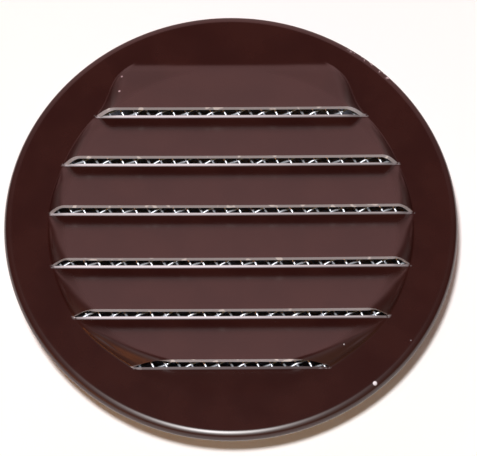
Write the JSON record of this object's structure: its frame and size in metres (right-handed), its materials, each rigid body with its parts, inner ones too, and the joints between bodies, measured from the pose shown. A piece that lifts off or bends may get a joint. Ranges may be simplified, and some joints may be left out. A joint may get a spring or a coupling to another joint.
{
  "type": "mini louver",
  "caption": "Round press-in vent louver: a louvered sheet face with a rolled rim over a fluted collar, with a woven insect screen behind the slits.",
  "frame": {"origin": "centre of the collar's back edge, on which the louver rests face up", "axes": "+Z out of the face along the barrel's axis, +Y towards the top as installed, +X to the right as seen from the front"},
  "size_m": [0.0602, 0.0602, 0.0138],
  "materials": {
    "painted_face": "glossy dark brown baked enamel on aluminium sheet, bare at the sheared edges",
    "screen_wire": "bright drawn aluminium wire, plain weave",
    "mill_collar": "mill finish aluminium sheet"
  },
  "bodies": {
    "root": {"louver_face": "painted_face", "insect_screen": "screen_wire", "mounting_collar": "mill_collar"}
  },
  "joints": []
}
